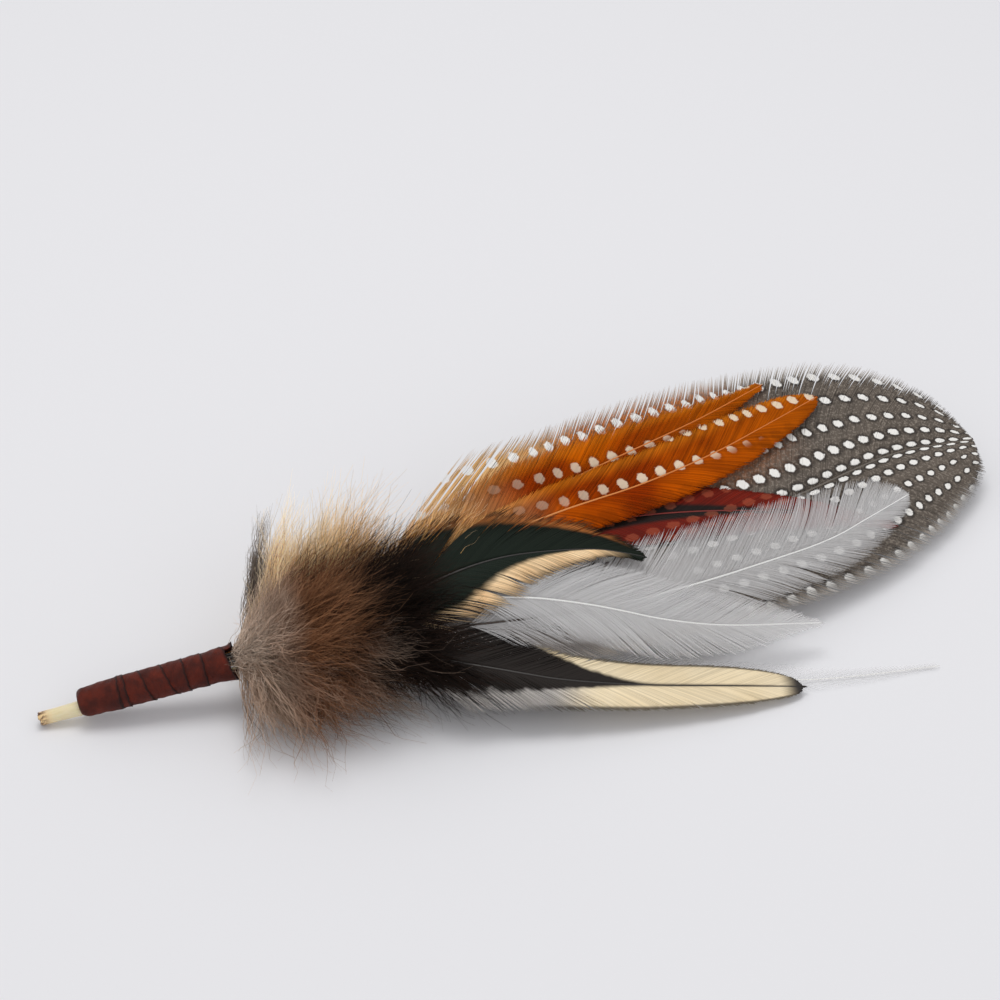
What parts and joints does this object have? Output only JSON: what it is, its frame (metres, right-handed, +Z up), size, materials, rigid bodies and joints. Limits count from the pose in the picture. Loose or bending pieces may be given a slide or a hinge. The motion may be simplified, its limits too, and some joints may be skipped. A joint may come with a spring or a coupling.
{
  "type": "feather quill pen",
  "caption": "Quill pen dressed as a feather bundle: bare hollow quill end, ribbon-wrapped grip, ball of down and a layered fan of spotted, dyed, white, green-black and cream feathers.",
  "frame": {"origin": "on the table, under the middle of the part's bounding box, as the pen lies on its side", "axes": "+X along the pen from the bare quill end to the feather tips, +Z up from the table, +Y across the fan of feathers to its raised far edge"},
  "size_m": [0.2158, 0.0894, 0.0307],
  "materials": {
    "ribbon": "dark red-brown ribbon with a fine cross grain and a soft sheen",
    "thread": "waxed natural thread",
    "quill_horn": "translucent cream keratin, stained brown at the open end",
    "dark_shaft": "dark keratin",
    "red_shaft": "red-dyed keratin",
    "orange_shaft": "orange-dyed keratin",
    "white_shaft": "white keratin, slightly glossy",
    "spotted_vane": "dark grey-brown barbs with a fine speckle and round white spots",
    "orange_vane": "orange-dyed barbs, darker red-brown near the root",
    "red_vane": "dark red dyed barbs round a black centre",
    "white_vane": "thin translucent white barbs",
    "green_vane": "green-black glossy barbs with tan edges",
    "cream_vane": "cream barbs with a black centre stripe and a thin dark edge",
    "taupe_down": "soft taupe to dark brown down",
    "tan_down": "soft tan down",
    "grey_down": "grey barred down"
  },
  "bodies": {
    "root": {"ribbon_wrap": "ribbon", "thread_lashing": "thread", "spotted_shaft": "quill_horn", "spotted_vane_upper": "spotted_vane", "spotted_vane_lower": "spotted_vane", "red_shaft": "red_shaft", "red_vane_upper": "red_vane", "red_vane_lower": "red_vane", "orange_long_shaft": "orange_shaft", "orange_long_vane_upper": "orange_vane", "orange_long_vane_lower": "orange_vane", "orange_short_shaft": "orange_shaft", "orange_short_vane_upper": "orange_vane", "orange_short_vane_lower": "orange_vane", "white_long_shaft": "white_shaft", "white_long_vane_upper": "white_vane", "white_long_vane_lower": "white_vane", "white_short_shaft": "white_shaft", "white_short_vane_upper": "white_vane", "white_short_vane_lower": "white_vane", "white_low_shaft": "white_shaft", "white_low_vane_upper": "white_vane", "white_low_vane_lower": "white_vane", "green_shaft": "dark_shaft", "green_vane_upper": "green_vane", "green_vane_lower": "green_vane", "cream_shaft": "dark_shaft", "cream_vane_upper": "cream_vane", "cream_vane_lower": "cream_vane", "fluff_top": "taupe_down", "fluff_under": "taupe_down", "fluff_back": "tan_down", "fluff_tuft": "grey_down"}
  },
  "joints": []
}
